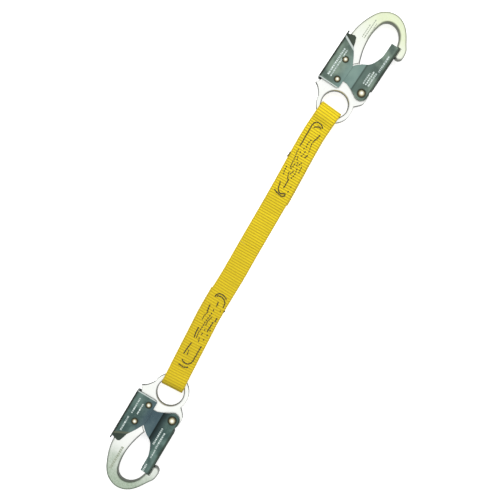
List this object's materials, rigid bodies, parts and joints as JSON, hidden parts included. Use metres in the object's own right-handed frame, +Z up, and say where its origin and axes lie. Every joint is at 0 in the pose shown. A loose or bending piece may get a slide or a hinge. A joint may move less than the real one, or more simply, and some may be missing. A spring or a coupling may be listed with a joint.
{
  "type": "snap hook web lanyard",
  "caption": "Short flat web lanyard, each end folded through the eye of a steel snap hook and sewn down, with self-closing gates and squeeze-to-release lock levers.",
  "frame": {"origin": "bottom centre of the whole lanyard's box as it lies flat", "axes": "+X along the lanyard from the left hook to the right hook, +Y to the side of the lock levers, +Z up from the surface it lies on"},
  "size_m": [0.612, 0.0754, 0.0218],
  "materials": {
    "forged_steel": "forged steel with a bright zinc plating, pale silver with a faint green-yellow tint",
    "pressed_steel": "pressed sheet steel, zinc plated, dark blue-grey in the light",
    "rivets": "yellow-passivated steel rivets with low domes",
    "spring_wire": "bright drawn spring wire",
    "webbing": "woven yellow nylon webbing with strong cross ribs",
    "thread": "heavy black bonded sewing thread"
  },
  "bodies": {
    "webbing_middle": {"webbing_center": "webbing"},
    "right_sewn_end": {"right_stitched_end": "webbing", "right_stitching": "thread"},
    "right_web_loop": {"right_loop": "webbing"},
    "right_hook": {"right_hook_body": "forged_steel", "right_gate_rivet": "rivets", "right_lock_rivet": "rivets"},
    "right_gate_group": {"right_gate": "pressed_steel", "right_gate_spring": "spring_wire"},
    "right_lock_group": {"right_lock_lever": "pressed_steel", "right_lock_pin": "rivets", "right_lock_spring": "spring_wire"},
    "left_sewn_end": {"left_stitched_end": "webbing", "left_stitching": "thread"},
    "left_web_loop": {"left_loop": "webbing"},
    "left_hook": {"left_hook_body": "forged_steel", "left_gate_rivet": "rivets", "left_lock_rivet": "rivets"},
    "left_gate_group": {"left_gate": "pressed_steel", "left_gate_spring": "spring_wire"},
    "left_lock_group": {"left_lock_lever": "pressed_steel", "left_lock_pin": "rivets", "left_lock_spring": "spring_wire"}
  },
  "joints": [
    {"name": "right_strap_bend", "type": "hinge", "parent": "webbing_middle", "child": "right_sewn_end", "pos_m": [0.05063, 0.00639, 0.00125], "axis": [0, -1, 0], "range_deg": [-90, 90]},
    {"name": "right_loop_flex", "type": "hinge", "parent": "right_sewn_end", "child": "right_web_loop", "pos_m": [0.15223, 0.00639, 0.0109], "axis": [0, 1, 0], "range_deg": [-60, 60]},
    {"name": "right_hook_swivel", "type": "hinge", "parent": "right_web_loop", "child": "right_hook", "pos_m": [0.18523, 0.00339, 0.0109], "axis": [0, 0, 1], "range_deg": [-30, 30]},
    {"name": "right_gate_swing", "type": "hinge", "parent": "right_hook", "child": "right_gate_group", "pos_m": [0.20974, -0.01633, 0.0109], "axis": [0, 0, 1], "range_deg": [0, 20], "stiffness_Nm_per_rad": 0.3, "springref_deg": -20.05},
    {"name": "right_lock_press", "type": "hinge", "parent": "right_hook", "child": "right_lock_group", "pos_m": [0.23361, 0.01773, 0.0109], "axis": [0, 0, -1], "range_deg": [0, 5], "stiffness_Nm_per_rad": 1, "springref_deg": -5.73},
    {"name": "left_strap_bend", "type": "hinge", "parent": "webbing_middle", "child": "left_sewn_end", "pos_m": [-0.05017, 0.00794, 0.00125], "axis": [0, 1, 0], "range_deg": [-90, 90]},
    {"name": "left_loop_flex", "type": "hinge", "parent": "left_sewn_end", "child": "left_web_loop", "pos_m": [-0.15176, 0.00599, 0.0109], "axis": [0, -1, 0], "range_deg": [-60, 60]},
    {"name": "left_hook_swivel", "type": "hinge", "parent": "left_web_loop", "child": "left_hook", "pos_m": [-0.18477, 0.00339, 0.0109], "axis": [0, 0, 1], "range_deg": [-30, 30]},
    {"name": "left_gate_swing", "type": "hinge", "parent": "left_hook", "child": "left_gate_group", "pos_m": [-0.21091, -0.01412, 0.0109], "axis": [0, 0, -1], "range_deg": [0, 20], "stiffness_Nm_per_rad": 0.3, "springref_deg": -20.05},
    {"name": "left_lock_press", "type": "hinge", "parent": "left_hook", "child": "left_lock_group", "pos_m": [-0.23173, 0.02189, 0.0109], "axis": [0, 0, 1], "range_deg": [0, 5], "stiffness_Nm_per_rad": 1, "springref_deg": -5.73}
  ]
}
